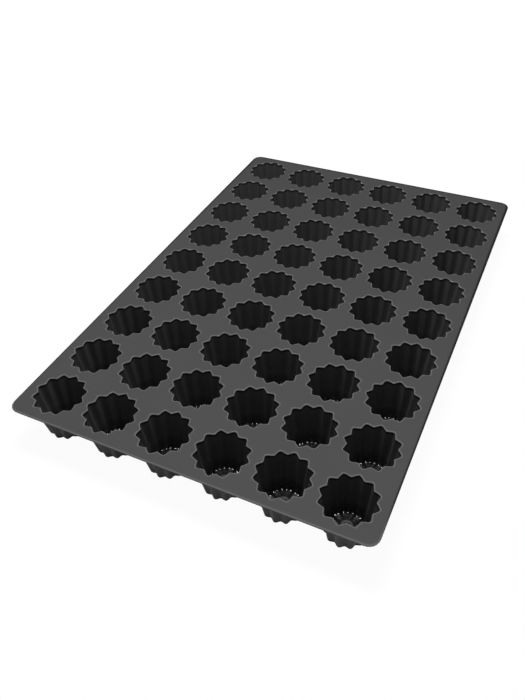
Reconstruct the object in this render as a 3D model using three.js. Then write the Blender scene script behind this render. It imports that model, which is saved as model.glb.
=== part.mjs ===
// A flexible silicone tray of fluted baking cups: six strips of one thin sheet, which bend against each other
// along the straight webs between them, with a row of nine cups hanging under each strip.
// Millimetres, +Z up. X runs along the tray's short side, Y along its long side, and the bases of the cups
// stand at Z = 0 with the origin under the middle of the tray.
import * as THREE from "three";

// Sheet
const SHEET_WIDTH = 400;
const SHEET_LENGTH = 600;
const SHEET_THICKNESS = 2;
const SHEET_CORNER_RADIUS = 12;
const CORNER_STEPS = 4;
const TRAY_HEIGHT = 50;
const WEB_GAP = 1; // room between two strips, so that their square edges clear each other when the web bends

// Grid of cups
const COLUMNS = ["a", "b", "c", "d", "e", "f"];
const ROWS = 9;
const EDGE_MARGIN = 38.5; // from the axes of the outer cups to the edge of the sheet
const COLUMN_PITCH = (SHEET_WIDTH - 2 * EDGE_MARGIN) / (COLUMNS.length - 1);
const ROW_PITCH = (SHEET_LENGTH - 2 * EDGE_MARGIN) / (ROWS - 1);

// Cup, with radii measured at the tips of the flutes
const FLUTES = 12;
const POINTS_PER_FLUTE = 2;
const VALLEY_SHARE = 0.89; // radius of the valley between two flutes, as a share of the radius at their tips
const FLUTE_SHARPNESS = 1.6;
const WALL = 1.8;
const BASE_THICKNESS = 2;
const MOUTH_RADIUS = 28;
const SHOULDER_RADIUS = 21.2; // inside, where the wall turns in to the base
const SHOULDER_RISE = 5; // from the base to the shoulder
const BASE_RADIUS = 17; // inside, edge of the flat base

// Finish
const SHEET_FINISH = { color: 0x4b4b4c, roughness: 0.62, metalness: 0 };
const CUP_FINISH = { color: 0x2c2c2d, roughness: 0.36, metalness: 0 };

const SHEET_UNDERSIDE = TRAY_HEIGHT - SHEET_THICKNESS;

// Radius at an angle about the cup's axis, as a share of the radius at the flute tips.
function fluteShare(angle) {
  const swing = Math.abs(Math.cos((FLUTES / 2) * angle)) ** FLUTE_SHARPNESS;
  return VALLEY_SHARE + (1 - VALLEY_SHARE) * swing;
}

// Distance of an item from the middle of an evenly spaced row.
function rowOffset(index, count, pitch) {
  return (index - (count - 1) / 2) * pitch;
}

// One cup: its section turned about Z, then drawn in between the flutes.
function cupGeometry() {
  const outside = [
    [0, 0],
    [BASE_RADIUS + WALL / 2, 0],
    [SHOULDER_RADIUS + WALL, SHOULDER_RISE],
    [MOUTH_RADIUS + WALL, SHEET_UNDERSIDE],
  ];
  const inside = [
    [MOUTH_RADIUS, SHEET_UNDERSIDE],
    [SHOULDER_RADIUS, BASE_THICKNESS + SHOULDER_RISE],
    [BASE_RADIUS, BASE_THICKNESS],
    [0, BASE_THICKNESS],
  ];
  const section = [...outside, ...inside].map(([radius, height]) => new THREE.Vector2(radius, height));
  const geometry = new THREE.LatheGeometry(section, FLUTES * POINTS_PER_FLUTE);
  geometry.rotateX(Math.PI / 2);
  const position = geometry.getAttribute("position");
  for (let i = 0; i < position.count; i += 1) {
    const x = position.getX(i);
    const y = position.getY(i);
    const share = fluteShare(Math.atan2(y, x));
    position.setXY(i, x * share, y * share);
  }
  return geometry;
}

// Outline of a strip about its own column's axis, with the tray's round corners on an outer side.
function stripOutline(left, right, leftRadius, rightRadius) {
  const front = -SHEET_LENGTH / 2;
  const back = SHEET_LENGTH / 2;
  const outline = new THREE.Shape();
  outline.moveTo(left + leftRadius, front);
  outline.lineTo(right - rightRadius, front);
  if (rightRadius > 0) {
    outline.absarc(right - rightRadius, front + rightRadius, rightRadius, -Math.PI / 2, 0);
  }
  outline.lineTo(right, back - rightRadius);
  if (rightRadius > 0) {
    outline.absarc(right - rightRadius, back - rightRadius, rightRadius, 0, Math.PI / 2);
  }
  outline.lineTo(left + leftRadius, back);
  if (leftRadius > 0) {
    outline.absarc(left + leftRadius, back - leftRadius, leftRadius, Math.PI / 2, Math.PI);
  }
  outline.lineTo(left, front + leftRadius);
  if (leftRadius > 0) {
    outline.absarc(left + leftRadius, front + leftRadius, leftRadius, Math.PI, 1.5 * Math.PI);
  }
  outline.closePath();
  return outline;
}

// Mouth of one cup, as a hole in the sheet centred at y on the column's axis.
function mouth(y) {
  const count = FLUTES * POINTS_PER_FLUTE;
  const points = Array.from({ length: count }, (_, i) => {
    const angle = (2 * Math.PI * i) / count;
    const radius = MOUTH_RADIUS * fluteShare(angle);
    return new THREE.Vector2(radius * Math.cos(angle), y + radius * Math.sin(angle));
  });
  return new THREE.Path(points);
}

// One strip of the sheet, with a mouth over each of its cups.
function stripGeometry(column) {
  const toWeb = (COLUMN_PITCH - WEB_GAP) / 2;
  const first = column === 0;
  const last = column === COLUMNS.length - 1;
  const outline = stripOutline(
    first ? -EDGE_MARGIN : -toWeb,
    last ? EDGE_MARGIN : toWeb,
    first ? SHEET_CORNER_RADIUS : 0,
    last ? SHEET_CORNER_RADIUS : 0,
  );
  for (let row = 0; row < ROWS; row += 1) {
    outline.holes.push(mouth(rowOffset(row, ROWS, ROW_PITCH)));
  }
  return new THREE.ExtrudeGeometry(outline, {
    depth: SHEET_THICKNESS,
    bevelEnabled: false,
    curveSegments: CORNER_STEPS,
  });
}

function piece(name, geometry, finish) {
  const mesh = new THREE.Mesh(geometry, new THREE.MeshStandardMaterial(finish));
  mesh.name = name;
  return mesh;
}

// One column of the tray: its strip and the nine cups under it, numbered from the front.
function columnGroup(column) {
  const letter = COLUMNS[column];
  const group = new THREE.Group();
  group.position.x = rowOffset(column, COLUMNS.length, COLUMN_PITCH);
  const strip = piece(`sheet_strip_${letter}`, stripGeometry(column), SHEET_FINISH);
  strip.position.z = SHEET_UNDERSIDE;
  group.add(strip);
  for (let row = 0; row < ROWS; row += 1) {
    const cup = piece(`cup_${letter}${row + 1}`, cupGeometry(), CUP_FINISH);
    cup.position.y = rowOffset(row, ROWS, ROW_PITCH);
    group.add(cup);
  }
  return group;
}

const tray = new THREE.Group();
COLUMNS.forEach((_, column) => tray.add(columnGroup(column)));

export default tray;
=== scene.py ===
"""Looks of a flexible silicone baking tray: fluted cups with a boss in the base, and plain webs between the
columns, where the real tray bends.
"""

import math

import bmesh
import bpy
from mathutils import Matrix, Vector


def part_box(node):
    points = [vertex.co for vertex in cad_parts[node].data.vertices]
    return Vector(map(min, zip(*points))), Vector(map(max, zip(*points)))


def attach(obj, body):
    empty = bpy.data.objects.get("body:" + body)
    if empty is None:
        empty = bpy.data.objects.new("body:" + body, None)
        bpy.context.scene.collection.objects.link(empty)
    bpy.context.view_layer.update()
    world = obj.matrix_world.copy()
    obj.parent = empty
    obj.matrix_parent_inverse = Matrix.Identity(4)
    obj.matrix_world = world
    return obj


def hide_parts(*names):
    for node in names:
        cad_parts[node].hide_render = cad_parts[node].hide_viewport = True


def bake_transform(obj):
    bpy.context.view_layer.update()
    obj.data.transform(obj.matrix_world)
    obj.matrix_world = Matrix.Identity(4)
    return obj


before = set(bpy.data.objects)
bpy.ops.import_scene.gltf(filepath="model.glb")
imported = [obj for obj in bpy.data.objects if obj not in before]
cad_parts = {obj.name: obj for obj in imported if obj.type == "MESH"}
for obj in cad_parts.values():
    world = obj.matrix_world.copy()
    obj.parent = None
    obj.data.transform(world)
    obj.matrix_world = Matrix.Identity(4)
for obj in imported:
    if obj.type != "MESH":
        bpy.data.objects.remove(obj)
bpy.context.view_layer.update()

MM = 0.001

# Grid and sheet, read from the parts in model.glb
COLUMNS = "abcdef"
ROWS = range(1, 10)


def middle(node):
    low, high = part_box(node)
    return (low + high) / 2


COLUMN_X = [middle(f"cup_{letter}{ROWS[0]}").x for letter in COLUMNS]
ROW_Y = [middle(f"cup_{COLUMNS[0]}{row}").y for row in ROWS]
SHEET_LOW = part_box(f"sheet_strip_{COLUMNS[0]}")[0]
SHEET_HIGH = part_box(f"sheet_strip_{COLUMNS[-1]}")[1]
SHEET_TOP = SHEET_HIGH.z
SHEET_UNDERSIDE = SHEET_LOW.z

# Sheet details
CORNER_RADIUS = 12 * MM
EDGE_ROUND = 0.8 * MM
LIP_ROUND = 1.0 * MM
LIP_MARGIN = 0.2 * MM
LIP_LEDGE = 0.8 * MM
WEB_HALF = 2.4 * MM
ROUND_STEPS = 4
FACE_STEPS = 3
WEB_STEPS = 10
WEB_ROWS = 60

# Flutes
FLUTES = 12
POINTS_PER_FLUTE = 12
AROUND = FLUTES * POINTS_PER_FLUTE
POINT_CROWDING = 0.3  # 0 spaces the points evenly, 0.5 crowds them all onto the tips and valleys
VALLEY_SHARE = 0.86
OUTER_BASE_DEPTH = 0.85  # depth of the flutes at the base, as a share of their depth at the mouth
INNER_BASE_DEPTH = 0.4
INNER_BASE_RIB = 1 * MM  # rise of the base at the foot of each valley
FLUTE_POINT = 0.9  # near 0 makes the flutes a sine wave, 1 a zigzag
BASE_FLUTE_POINT = 0.1

# Cup section: radii at the flute tips, heights above the underside of the base
WALL = 1.8 * MM
MOUTH_FLARE = 0.4 * MM
MOUTH_RADIUS = (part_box("cup_a1")[1].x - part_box("cup_a1")[0].x) / 2 - WALL + MOUTH_FLARE
MOUTH_HEIGHT = SHEET_TOP - LIP_ROUND
BASE_RADIUS = 20.5 * MM  # where the lines of the wall and the base meet, under the round corner
BASE_ROUND = 4.1 * MM
BASE_THICKNESS = 2 * MM
BASE_FLAT_END = 0.6 * MM  # how close to its round corner a base is kept flat
OUTER_BASE_SPREAD = 0.8  # how far out the base's outer corner stands, as a share of the wall
ROOT_ROUND = 1.2 * MM
WALL_STEPS = 3
INNER_BASE_STEPS = 8
OUTER_BASE_STEPS = 6
INNER_BOSS_STEPS = 3
OUTER_BOSS_STEPS = 2

# Raised boss in the middle of a base, with a dished top
BOSS_FOOT_RADIUS = 7.6 * MM
BOSS_TOP_RADIUS = 6 * MM
BOSS_RISE = 6 * MM
DISH_RADIUS = 3.4 * MM
DISH_DEPTH = 1 * MM
BOSS_ROUND = 0.9 * MM

# Mesh clean-up
MERGE_DISTANCE = 0.001 * MM
HARD_TURN = math.radians(50)
TINY = 1e-6

# Silicone: grey levels from 0 black to 1 white, and gloss. The lip and front rim greys are painted
# highlights; the edge, low wall, base and shade greys are painted shade
SHEET_GREYS = (0.066, 0.088)
# Painted highlight: greys for the lips and the top of the front rim
HIGHLIGHT_GREYS = (0.18, 0.25)  # lips and front rim, at the front of the tray and at the back
EDGE_GREY = 0.012
WALL_GREYS = (0.090, 0.112)
LOW_WALL_GREY = 0.055
BASE_GREY = 0.008
OUTSIDE_GREYS = (0.100, 0.130)
SHADE_GREY = 0.004
SILICONE_IOR = 1.41
SHEET_GLOSS = 0.25
LINING_GLOSS = 0.5
OUTSIDE_GLOSS = 0.2

# Silicone: clouds, streaks and grain in waves per metre, and roughness
SHEET_CLOUDS = 14
SHEET_GRAIN = 1400
SHEET_ROUGHNESS = 0.54
LINING_STREAKS = 260
STREAK_SQUEEZE = 0.06  # scale of the streaks down a wall, against their scale across it
LINING_GRAIN = 900
LINING_ROUGHNESS = 0.18
OUTSIDE_CLOUDS = 30
OUTSIDE_GRAIN = 1200
OUTSIDE_ROUGHNESS = 0.66

# Silicone: where painted highlights and painted shade start and end, and where the base turns rougher
FRONT_RIM_START = 4 * MM
FRONT_RIM_END = 60 * MM
UNDER_LIP_START = 3.5 * MM
UNDER_LIP_END = 1 * MM
LOW_WALL_START = 1.5 * MM
LOW_WALL_END = 4 * MM
BASE_EDGE_START = 6.5 * MM
BASE_EDGE_END = 4 * MM
ROOT_SHADE = 8 * MM
FOOT_SHADE_START = 2 * MM
FOOT_SHADE_END = 8 * MM

# Photograph's view
IMAGE_HEIGHT = 700
FOCAL_PIXELS = 667.1
SENSOR = 36
CAMERA_AZIMUTH = math.radians(27.037)
CAMERA_ELEVATION = math.radians(42.954)
CAMERA_ROLL = math.radians(-2.583)
CAMERA_DISTANCE = 744.55 * MM
CAMERA_TARGET = Vector((6.41 * MM, -115.10 * MM, SHEET_TOP))

# Light and floor
WORLD_LIGHT = 0.12
LAMP_HEIGHT = 1.6
SOFT_PLACE = (-0.12, 0.08)
SOFT_SIZE = (0.5, 0.3)
SOFT_POWER = 19.5
GLINT_PLACE = (0.05, -0.2)
GLINT_SIZE = (0.2, 0.2)
GLINT_POWER = 20
FLOOR_SIZE = 12
FLOOR_GAP = 0.1 * MM
FLOOR_LIFT = 0.93  # share of the floor by the tray that shows the white surroundings, and not lit paper
WHITE = 1.03  # strength of the surroundings, as the camera sees them
PAPER_GREYS = (0.84, 0.88)
PAPER_CLOUDS = 40
PAPER_ROUGHNESS = 0.9
FLOOR_NEAR = 0.35  # from here out to the next distance the floor turns wholly white
FLOOR_FAR = 0.9


class Wire:
    """A socket of a material's nodes. Operators on it add Math nodes, and node() adds any other kind."""

    def __init__(self, tree, socket=None):
        self.tree = tree
        self.socket = socket

    def node(self, kind, settings=None, inputs=None, output=0):
        made = self.tree.nodes.new(kind)
        for name, value in (settings or {}).items():
            setattr(made, name, value)
        for name, value in (inputs or {}).items():
            if isinstance(value, Wire):
                self.tree.links.new(value.socket, made.inputs[name])
            else:
                made.inputs[name].default_value = value
        return Wire(self.tree, made.outputs[output])

    def math(self, operation, first, second=0):
        return self.node("ShaderNodeMath", {"operation": operation}, {0: first, 1: second})

    def function(self, operation, other=0):
        return self.math(operation, self, other)

    def __add__(self, other):
        return self.math("ADD", self, other)

    __radd__ = __add__

    def __sub__(self, other):
        return self.math("SUBTRACT", self, other)

    def __rsub__(self, other):
        return self.math("SUBTRACT", other, self)

    def __mul__(self, other):
        return self.math("MULTIPLY", self, other)

    __rmul__ = __mul__

    def __truediv__(self, other):
        return self.math("DIVIDE", self, other)

    def __rtruediv__(self, other):
        return self.math("DIVIDE", other, self)

    def plug(self, shader, name):
        self.tree.links.new(self.socket, shader.inputs[name])


def new_material(name):
    """An empty material, with its shader and the wire that starts its nodes."""
    material = bpy.data.materials.new(name)
    material.use_nodes = True
    shader = material.node_tree.nodes["Principled BSDF"]
    return material, shader, Wire(material.node_tree)


def new_silicone(name, gloss):
    """A silicone material without its colour yet, with its shader and the wire that starts its nodes."""
    material, shader, start = new_material(name)
    shader.inputs["IOR"].default_value = SILICONE_IOR
    shader.inputs["Specular IOR Level"].default_value = gloss
    return material, shader, start


def add_bump(shader, grain, strength, distance):
    bump = grain.node("ShaderNodeBump", {}, {"Strength": strength, "Distance": distance, "Height": grain})
    bump.plug(shader, "Normal")


def object_place(start):
    """The place on the object, whole and as its three coordinates."""
    place = start.node("ShaderNodeTexCoord", output="Object")
    return place, *[start.node("ShaderNodeSeparateXYZ", {}, {0: place}, axis) for axis in range(3)]


def noise(place, scale, detail):
    return place.node("ShaderNodeTexNoise", {}, {"Vector": place, "Scale": scale, "Detail": detail})


def rise(value, low, high):
    """0 below low, 1 above high, and a smooth rise between."""
    settings = {"interpolation_type": "SMOOTHSTEP"}
    return value.node("ShaderNodeMapRange", settings, {"Value": value, "From Min": low, "From Max": high})


def blended(share, low, high):
    """A colour from low to high, as the share goes from 0 to 1."""
    return share.node("ShaderNodeMix", {"data_type": "RGBA"}, {0: share, 6: low, 7: high}, 2)


def grey(level):
    return (level, level, level, 1)


def from_nearest(value, places):
    """How far a coordinate is from the nearest of evenly spaced places."""
    pitch = places[1] - places[0]
    steps = ((value - places[0]) / pitch).function("ROUND").function("MAXIMUM", 0)
    return value - places[0] - steps.function("MINIMUM", len(places) - 1) * pitch


def cup_polar(x, y):
    """Radius and angle of a point about the nearest cup's axis."""
    across = from_nearest(x, COLUMN_X)
    along = from_nearest(y, ROW_Y)
    return (across * across + along * along).function("SQRT"), along.function("ARCTAN2", across)


def mouth_outline(x, y):
    """A point's distance outside the nearest mouth, and a share from 1 at a flute's tip to 0 in a valley."""
    radius, angle = cup_polar(x, y)
    wave = (angle * FLUTES).function("COSINE")
    swing = (wave * FLUTE_POINT).function("ARCSINE") / (2 * math.asin(FLUTE_POINT)) + 0.5
    return radius - (swing * (1 - VALLEY_SHARE) + VALLEY_SHARE) * MOUTH_RADIUS, swing


def border_distance(x, y):
    """How far inside the sheet's round-cornered border a point is."""
    half = (SHEET_HIGH - SHEET_LOW) / 2
    centre = (SHEET_HIGH + SHEET_LOW) / 2
    past_x = (x - centre.x).function("ABSOLUTE") - (half.x - CORNER_RADIUS)
    past_y = (y - centre.y).function("ABSOLUTE") - (half.y - CORNER_RADIUS)
    corner_x = past_x.function("MAXIMUM", 0)
    corner_y = past_y.function("MAXIMUM", 0)
    outside = (corner_x * corner_x + corner_y * corner_y).function("SQRT")
    inside = past_x.function("MAXIMUM", past_y).function("MINIMUM", 0)
    return CORNER_RADIUS - outside - inside


def sheet_silicone(name, has_mouths):
    """Matte moulded silicone: fine grain, faint clouds, painted shade along the outer edge, painted
    highlights on the mouths' lips and the front rim, and painted light that lifts the grey towards the front.
    """
    material, shader, start = new_silicone(name, SHEET_GLOSS)
    place, x, y, z = object_place(start)
    cloud = noise(place, SHEET_CLOUDS, 3)
    grain = noise(place, SHEET_GRAIN, 2)
    behind = rise(y, SHEET_LOW.y + FRONT_RIM_START, SHEET_LOW.y + FRONT_RIM_END)
    far = rise(y, SHEET_LOW.y, SHEET_HIGH.y)
    # Painted shade: a dark band along the sheet's outer edge, wider towards the back
    rim = 1 - rise(border_distance(x, y) / (1 + far), EDGE_ROUND, EDGE_ROUND * 2.8)
    # Painted highlight along the top of the front edge
    light_rim = rim * (1 - behind) * rise(z, SHEET_TOP - EDGE_ROUND * 1.5, SHEET_TOP - EDGE_ROUND)
    painted_highlight = light_rim * 0.8
    roughness = SHEET_ROUGHNESS + 0.14 * grain
    if has_mouths:
        distance, swing = mouth_outline(x, y)
        near_mouth = 1 - rise(distance, LIP_ROUND * 0.8, LIP_ROUND * 2.1)
        # Painted highlight round each mouth's lip; towards the back it keeps to the teeth between the flutes,
        # as painted glints
        lip = near_mouth * (1 - 0.8 * far * rise(swing, 0.1, 0.5))
        painted_highlight = lip.function("MAXIMUM", painted_highlight)
        roughness = roughness - 0.2 * lip
    # Painted light: the sheet's grey is lifted towards the front of the tray
    plain = blended(cloud * 0.6 + grain * 0.3 + 0.5 * (1 - far), *map(grey, SHEET_GREYS))
    pale = blended(far, *map(grey, HIGHLIGHT_GREYS))
    blended((rim - light_rim) * 0.9, blended(painted_highlight, plain, pale), grey(EDGE_GREY)).plug(shader, "Base Color")
    roughness.plug(shader, "Roughness")
    add_bump(shader, grain, 0.12, 0.3 * MM)
    return material


def cup_lining():
    """Smooth silicone inside a cup: faint streaks down the walls, and painted shade under the lip, low on the
    walls and on the base.
    """
    material, shader, start = new_silicone("cup_lining", LINING_GLOSS)
    place, x, y, z = object_place(start)
    radius, _ = cup_polar(x, y)
    drawn = start.node("ShaderNodeMapping", {}, {"Vector": place, "Scale": (1, 1, STREAK_SQUEEZE)})
    streak = noise(drawn, LINING_STREAKS, 3)
    grain = noise(place, LINING_GRAIN, 2)
    above_base = rise(z, BASE_THICKNESS + LOW_WALL_START, BASE_THICKNESS + LOW_WALL_END)
    on_base = 1 - rise(radius, BASE_RADIUS - BASE_EDGE_START, BASE_RADIUS - BASE_EDGE_END)
    up_wall = rise(z, BASE_THICKNESS + BOSS_RISE, BASE_THICKNESS + 3 * BOSS_RISE)
    under_lip = rise(z, MOUTH_HEIGHT - UNDER_LIP_START, MOUTH_HEIGHT - UNDER_LIP_END)
    walls = blended(streak, *map(grey, WALL_GREYS))
    # Painted shade low in the cup: darkest on the base, darker on the boss and the lower walls, up to the
    # walls' own greys higher up
    low_walls = blended(above_base, grey(BASE_GREY), grey(LOW_WALL_GREY))
    depth_shaded = blended(up_wall, low_walls, walls)
    # Painted shade in a band just under the lip
    blended(under_lip * 0.85, depth_shaded, grey(SHADE_GREY)).plug(shader, "Base Color")
    roughness = LINING_ROUGHNESS + 0.04 * streak + 0.14 * above_base + 0.08 * on_base
    roughness.plug(shader, "Roughness")
    add_bump(shader, grain, 0.03, 0.2 * MM)
    return material


def cup_outside():
    """Matte silicone outside a cup, with painted shade at its foot and where it meets the sheet."""
    material, shader, start = new_silicone("cup_outside", OUTSIDE_GLOSS)
    place, _, _, z = object_place(start)
    cloud = noise(place, OUTSIDE_CLOUDS, 3)
    grain = noise(place, OUTSIDE_GRAIN, 2)
    # Painted shade where the cup meets the sheet's underside and at its foot
    root = rise(z, SHEET_UNDERSIDE - ROOT_SHADE, SHEET_UNDERSIDE)
    foot = 1 - rise(z, FOOT_SHADE_START, FOOT_SHADE_END)
    plain = blended(cloud * 0.6 + grain * 0.4, *map(grey, OUTSIDE_GREYS))
    blended(root * 0.4 + foot * 0.9, plain, grey(SHADE_GREY)).plug(shader, "Base Color")
    (OUTSIDE_ROUGHNESS + 0.14 * grain).plug(shader, "Roughness")
    add_bump(shader, grain, 0.10, 0.3 * MM)
    return material


def floor_paper():
    """White paper that keeps the tray's shadow, mostly see-through for the camera, with white behind it."""
    material, shader, start = new_material("floor_paper")
    place, x, y, _ = object_place(start)
    away = rise((x * x + y * y).function("SQRT"), FLOOR_NEAR, FLOOR_FAR)
    blended(noise(place, PAPER_CLOUDS, 2), *map(grey, PAPER_GREYS)).plug(shader, "Base Color")
    shader.inputs["Roughness"].default_value = PAPER_ROUGHNESS
    seen, mirrored, through = [
        start.node("ShaderNodeLightPath", output=f"Is {kind} Ray")
        for kind in ("Camera", "Glossy", "Transmission")
    ]
    paper = Wire(start.tree, shader.outputs["BSDF"])
    white = start.node("ShaderNodeEmission", {}, {"Color": grey(1), "Strength": WHITE})
    clear = start.node("ShaderNodeBsdfTransparent")
    lift = FLOOR_LIFT + away * (1 - FLOOR_LIFT)
    reflected = (mirrored + through).function("MINIMUM", 1) * lift
    lifted = start.node("ShaderNodeMixShader", {}, {0: reflected, 1: paper, 2: white})
    see_through = start.node("ShaderNodeMixShader", {}, {0: seen * lift, 1: lifted, 2: clear})
    see_through.plug(start.tree.nodes["Material Output"], "Surface")
    return material


def make_piece(name, points, faces, materials, finishes=None):
    """A closed piece from points and faces, smooth except where its faces turn hard."""
    mesh = bpy.data.meshes.new(name)
    mesh.from_pydata(points, [], faces)
    for material in materials:
        mesh.materials.append(material)
    if finishes:
        mesh.polygons.foreach_set("material_index", finishes)
    shape = bmesh.new()
    shape.from_mesh(mesh)
    bmesh.ops.remove_doubles(shape, verts=shape.verts, dist=MERGE_DISTANCE)
    loose = [vertex for vertex in shape.verts if not vertex.link_faces]
    bmesh.ops.delete(shape, geom=loose, context="VERTS")
    bmesh.ops.recalc_face_normals(shape, faces=shape.faces)
    for face in shape.faces:
        face.smooth = True
    for edge in shape.edges:
        edge.smooth = edge.calc_face_angle(0) < HARD_TURN
    shape.to_mesh(mesh)
    shape.free()
    piece = bpy.data.objects.new(name, mesh)
    bpy.context.scene.collection.objects.link(piece)
    return piece


def flute_angle(i):
    """Angle about a cup's axis of a point of its outline, with the points closest at the tips and valleys."""
    turn = 2 * math.pi * i / POINTS_PER_FLUTE
    return (turn - POINT_CROWDING * math.sin(2 * turn)) / FLUTES


def valley(angle, point=FLUTE_POINT):
    """0 at the tip of a flute and 1 in the valley between two, at an angle about a cup's axis."""
    return 0.5 - math.asin(point * math.cos(FLUTES * angle)) / (2 * math.asin(point))


ANGLES = [flute_angle(i) for i in range(AROUND)]
MOUTH_SHARES = [1 - (1 - VALLEY_SHARE) * valley(angle) for angle in ANGLES]


def quarter(steps):
    """Angles of a quarter turn, end points included."""
    return [math.pi / 2 * i / steps for i in range(steps + 1)]


def rounded(corners):
    """A run of corners (radius, height, rounding, steps), as points with each corner turned in an arc."""
    places = [Vector(corner[:2]) for corner in corners]
    section = [places[0]]
    for before, corner, after, (_, _, rounding, steps) in zip(places, places[1:], places[2:], corners[1:]):
        back = (before - corner).normalized()
        ahead = (after - corner).normalized()
        half = back.angle(ahead) / 2
        centre = corner + (back + ahead).normalized() * rounding / math.sin(half)
        start = (corner + back * rounding / math.tan(half) - centre).normalized()
        end = (corner + ahead * rounding / math.tan(half) - centre).normalized()
        section += [centre + start.slerp(end, i / steps) * rounding for i in range(steps + 1)]
    return section + [places[-1]]


def boss(thickness, low, steps):
    """Corners of the raised boss of a base, from the axis out to its foot."""
    top = low + BOSS_RISE
    return [
        (0, top - DISH_DEPTH, 0, 0),
        (DISH_RADIUS - BOSS_ROUND, top - DISH_DEPTH, BOSS_ROUND / 2, steps),
        (DISH_RADIUS, top, BOSS_ROUND / 2, steps),
        (BOSS_TOP_RADIUS - thickness, top, BOSS_ROUND, steps),
        (BOSS_FOOT_RADIUS - thickness, low, BOSS_ROUND, steps),
    ]


def cup_sections():
    """Outside of a cup, from the axis under its base to its rim, and inside, from the rim to the axis."""
    root_height = SHEET_UNDERSIDE - ROOT_ROUND
    outside = rounded(boss(WALL, 0, OUTER_BOSS_STEPS) + [
        (BASE_RADIUS + WALL * OUTER_BASE_SPREAD, 0, BASE_ROUND + WALL / 2, OUTER_BASE_STEPS),
        (MOUTH_RADIUS + WALL, root_height, 0, 0),
    ])
    root = Vector((MOUTH_RADIUS + WALL, root_height))
    outside += [
        root + ROOT_ROUND * Vector((1 - math.cos(turn), math.sin(turn)))
        for turn in quarter(ROUND_STEPS)[1:]
    ]
    outside += [Vector((MOUTH_RADIUS + WALL / 2, MOUTH_HEIGHT))]
    inside = rounded(boss(0, BASE_THICKNESS, INNER_BOSS_STEPS) + [
        (BASE_RADIUS, BASE_THICKNESS, BASE_ROUND, INNER_BASE_STEPS),
        (MOUTH_RADIUS, MOUTH_HEIGHT, 0, 0),
    ])
    mouth = inside.pop()
    inside += [inside[-1].lerp(mouth, i / WALL_STEPS) for i in range(1, WALL_STEPS + 1)]
    corner = max(i for i, place in enumerate(inside) if place.y < BASE_THICKNESS + MERGE_DISTANCE)
    inside.insert(corner, inside[corner] - Vector((BASE_FLAT_END, 0)))
    return outside, inside[::-1]


def flute_ring(radius, height, base_depth, base_rib):
    """Points round a cup at a place on its section: round on the boss, fluted from the base to the mouth."""
    up = min(height / MOUTH_HEIGHT, 1)
    depth = (base_depth + (1 - base_depth) * up) * (1 - VALLEY_SHARE)
    rib = base_rib * (1 - up)
    point = BASE_FLUTE_POINT + (FLUTE_POINT - BASE_FLUTE_POINT) * up
    if radius < BOSS_FOOT_RADIUS + BOSS_ROUND:
        depth = rib = 0
    ring = []
    for angle in ANGLES:
        inward = valley(angle, point)
        reach = radius * (1 - depth * inward)
        ring.append(Vector((reach * math.cos(angle), reach * math.sin(angle), height + rib * inward)))
    return ring


def cup_mesh():
    """Points about a cup's axis, faces, and a material number for each face: 0 outside and 1 inside."""
    outside, inside = cup_sections()
    points = []
    for section, *flute in ((outside, OUTER_BASE_DEPTH, 0), (inside, INNER_BASE_DEPTH, INNER_BASE_RIB)):
        for radius, height in section:
            points += flute_ring(radius, height, *flute)
    faces = []
    finishes = []
    for level in range(len(outside) + len(inside) - 1):
        for i in range(AROUND):
            a = level * AROUND + i
            b = level * AROUND + (i + 1) % AROUND
            faces.append((a, b, b + AROUND, a + AROUND))
            finishes.append(int(level >= len(outside)))
    return points, faces, finishes


def make_cup(column, row, shape, materials):
    """One cup from the shape they share, with the first material outside and the second inside."""
    points, faces, finishes = shape
    centre = Vector((COLUMN_X[column], ROW_Y[row], 0))
    name = f"fluted_cup_{COLUMNS[column]}{ROWS[row]}"
    return make_piece(name, [centre + point for point in points], faces, materials, finishes)


def edge_section(point, facing):
    """The sheet's rounded edge at a point, from top to underside, or a square cut if facing is zero."""
    turns = quarter(ROUND_STEPS)
    top = [(1 - math.sin(t), SHEET_TOP - EDGE_ROUND * (1 - math.cos(t))) for t in turns]
    under = [(inset, SHEET_TOP + SHEET_UNDERSIDE - z) for inset, z in reversed(top)]
    return [(point - facing * EDGE_ROUND * inset, z) for inset, z in top + under]


def sheet_border(point):
    """A border point, moved onto the sheet's round corner if near one, and the way the edge faces there."""
    facing = Vector((0, 0))
    for axis in range(2):
        if abs(point[axis] - SHEET_LOW[axis]) < MERGE_DISTANCE:
            facing[axis] = -1
        if abs(point[axis] - SHEET_HIGH[axis]) < MERGE_DISTANCE:
            facing[axis] = 1
    inner = [
        min(max(point[axis], SHEET_LOW[axis] + CORNER_RADIUS), SHEET_HIGH[axis] - CORNER_RADIUS)
        for axis in range(2)
    ]
    away = point - Vector(inner)
    if abs(away.x) > MERGE_DISTANCE and abs(away.y) > MERGE_DISTANCE:
        facing = away.normalized()
        point = Vector(inner) + facing * CORNER_RADIUS
    return point, facing


def between(places, i):
    """Halfway from a place to the next."""
    return (places[i] + places[i + 1]) / 2


def cell_limits(column, row):
    """Left, right, front and back limits of the part of a strip round one cup."""
    last_column = len(COLUMNS) - 1
    last_row = len(ROWS) - 1
    left = SHEET_LOW.x if column == 0 else between(COLUMN_X, column - 1) + WEB_HALF
    right = SHEET_HIGH.x if column == last_column else between(COLUMN_X, column) - WEB_HALF
    front = SHEET_LOW.y if row == 0 else between(ROW_Y, row - 1)
    back = SHEET_HIGH.y if row == last_row else between(ROW_Y, row)
    return left, right, front, back


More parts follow.
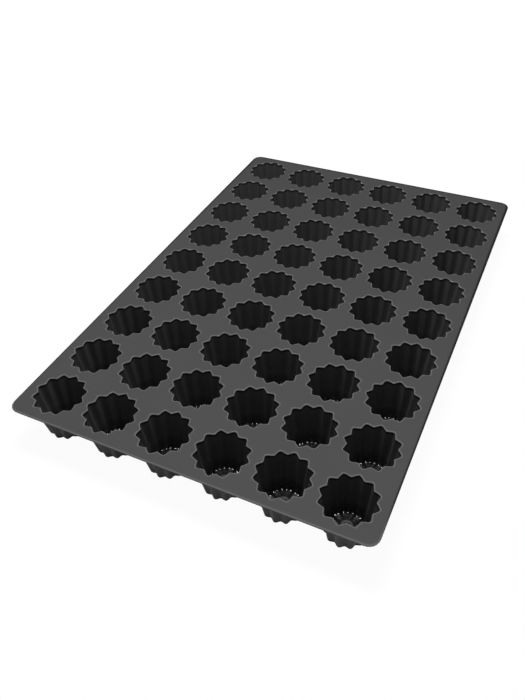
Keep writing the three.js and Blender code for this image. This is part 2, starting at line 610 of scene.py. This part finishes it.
def cell_section(column, row, angle, share):
    """The sheet's section at an angle about a cup, from lip to edge and back to the hole's wall.

    With it come the levels of its edge, and whether that edge meets the next cup's part of the strip.
    """
    centre = Vector((COLUMN_X[column], ROW_Y[row]))
    away = Vector((math.cos(angle), math.sin(angle)))
    left, right, front, back = cell_limits(column, row)
    square = away / max(abs(away.x), abs(away.y))
    border = centre + Vector((
        square.x * (right - centre.x if square.x > 0 else centre.x - left),
        square.y * (back - centre.y if square.y > 0 else centre.y - front),
    ))
    edge = edge_section(*sheet_border(border))
    mouth = MOUTH_RADIUS * share
    lip = [
        (centre + away * (mouth + LIP_ROUND * (1 - math.cos(t))), SHEET_TOP - LIP_ROUND * (1 - math.sin(t)))
        for t in quarter(ROUND_STEPS)
    ]
    lip.append((centre + away * (mouth + LIP_ROUND + LIP_MARGIN), SHEET_TOP))
    top = [(lip[-1][0].lerp(edge[0][0], i / FACE_STEPS), SHEET_TOP) for i in range(1, FACE_STEPS)]
    ledge = centre + away * (mouth + LIP_LEDGE)
    under = [(edge[-1][0].lerp(ledge, i / FACE_STEPS), SHEET_UNDERSIDE) for i in range(1, FACE_STEPS + 1)]
    section = lip + top + edge + under + [(ledge, SHEET_TOP - LIP_ROUND)]
    edge_start = len(lip) + len(top)
    edge_levels = range(edge_start, edge_start + len(edge) - 1)
    has_next = SHEET_LOW.y < front if square.y < 0 else back < SHEET_HIGH.y
    meets_next = has_next and abs(square.y) > 1 - TINY
    return section, edge_levels, meets_next


def make_strip(column, material):
    """One strip of the sheet, cell by cell along its row of mouths."""
    points = []
    faces = []
    for row in range(len(ROWS)):
        sections = [cell_section(column, row, angle, share) for angle, share in zip(ANGLES, MOUTH_SHARES)]
        count = len(sections[0][0])
        starts = [len(points) + i * count for i in range(AROUND)]
        for section, _, _ in sections:
            points += [(place.x, place.y, z) for place, z in section]
        for i in range(AROUND):
            j = (i + 1) % AROUND
            open_side = sections[i][2] and sections[j][2]
            for k in range(count):
                if open_side and k in sections[i][1]:
                    continue
                n = (k + 1) % count
                faces.append((starts[i] + k, starts[j] + k, starts[j] + n, starts[i] + n))
    return make_piece(f"silicone_strip_{COLUMNS[column]}", points, faces, [material])


def make_web(column, material):
    """The plain band of sheet between a column and the next, where the real sheet bends."""
    middle_x = between(COLUMN_X, column)
    along = [i / WEB_ROWS for i in range(1, WEB_ROWS)]
    points = []
    faces = []
    for step in range(WEB_STEPS + 1):
        x = middle_x + WEB_HALF * (2 * step / WEB_STEPS - 1)
        front = edge_section(Vector((x, SHEET_LOW.y)), Vector((0, -1)))
        back = edge_section(Vector((x, SHEET_HIGH.y)), Vector((0, 1)))
        top = [(front[0][0].lerp(back[0][0], share), SHEET_TOP) for share in along]
        under = [(back[-1][0].lerp(front[-1][0], share), SHEET_UNDERSIDE) for share in along]
        loop = top + back + under + front[::-1]
        points += [(place.x, place.y, z) for place, z in loop]
    count = len(loop)
    for step in range(WEB_STEPS):
        for k in range(count):
            a = step * count + k
            b = step * count + (k + 1) % count
            faces.append((a, b, b + count, a + count))
    faces.append(tuple(range(count)))
    faces.append(tuple(WEB_STEPS * count + k for k in reversed(range(count))))
    web = make_piece(f"flex_web_{COLUMNS[column]}{COLUMNS[column + 1]}", points, faces, [material])
    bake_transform(web)


def make_tray():
    """Every strip with its cups, riding on its column's body, and the webs between."""
    sheet = sheet_silicone("sheet_silicone", True)
    plain_sheet = sheet_silicone("web_silicone", False)
    cup_shape = cup_mesh()
    cup_materials = [cup_outside(), cup_lining()]
    for column, letter in enumerate(COLUMNS):
        body = f"column_{letter}"
        strip = make_strip(column, sheet)
        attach(strip, body)
        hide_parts(f"sheet_strip_{letter}")
        for row, number in enumerate(ROWS):
            cup = make_cup(column, row, cup_shape, cup_materials)
            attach(cup, body)
            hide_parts(f"cup_{letter}{number}")
    for column in range(len(COLUMNS) - 1):
        make_web(column, plain_sheet)


def make_camera():
    """The photograph's viewpoint: where it looks, from how far, and how it is tilted."""
    level = math.cos(CAMERA_ELEVATION)
    back = Vector((
        math.sin(CAMERA_AZIMUTH) * level,
        -math.cos(CAMERA_AZIMUTH) * level,
        math.sin(CAMERA_ELEVATION),
    ))
    right = (-back).cross(Vector((0, 0, 1))).normalized()
    up = right.cross(-back)
    across = right * math.cos(CAMERA_ROLL) + up * math.sin(CAMERA_ROLL)
    upright = up * math.cos(CAMERA_ROLL) - right * math.sin(CAMERA_ROLL)
    turn = Matrix((across, upright, back)).transposed()
    lens = bpy.data.cameras.new("view")
    lens.sensor_width = SENSOR
    lens.lens = FOCAL_PIXELS / IMAGE_HEIGHT * SENSOR
    camera = bpy.data.objects.new("view", lens)
    camera.matrix_world = Matrix.Translation(CAMERA_TARGET + back * CAMERA_DISTANCE) @ turn.to_4x4()
    bpy.context.scene.collection.objects.link(camera)
    bpy.context.scene.camera = camera


def make_lamp(name, place, size, power):
    """A lamp overhead that shines straight down."""
    light = bpy.data.lights.new(name, "AREA")
    light.shape = "RECTANGLE"
    light.size, light.size_y = size
    light.energy = power
    lamp = bpy.data.objects.new(name, light)
    lamp.location = (*place, LAMP_HEIGHT)
    bpy.context.scene.collection.objects.link(lamp)
    return lamp


def make_studio():
    """White paper floor, white surroundings, a soft lamp overhead and a small one for the glints.

    The floor casts no shadow and is mostly see-through, so a column bent below it stays lit and in sight.
    """
    half = FLOOR_SIZE / 2
    corners = [(-half, -half, 0), (half, -half, 0), (half, half, 0), (-half, half, 0)]
    mesh = bpy.data.meshes.new("floor")
    mesh.from_pydata(corners, [], [(0, 1, 2, 3)])
    mesh.materials.append(floor_paper())
    floor = bpy.data.objects.new("floor", mesh)
    floor.location.z = -FLOOR_GAP
    floor.visible_shadow = False
    bpy.context.scene.collection.objects.link(floor)
    world = bpy.data.worlds.new("studio")
    world.use_nodes = True
    bpy.context.scene.world = world
    seen = Wire(world.node_tree).node("ShaderNodeLightPath", output="Is Camera Ray")
    background = world.node_tree.nodes["Background"]
    background.inputs["Color"].default_value = grey(1)
    (WORLD_LIGHT + seen * (WHITE - WORLD_LIGHT)).plug(background, "Strength")
    make_lamp("soft_lamp", SOFT_PLACE, SOFT_SIZE, SOFT_POWER).visible_glossy = False
    make_lamp("glint_lamp", GLINT_PLACE, GLINT_SIZE, GLINT_POWER).visible_diffuse = False


make_camera()
make_tray()
make_studio()

bpy.context.scene.view_settings.view_transform = "Standard"
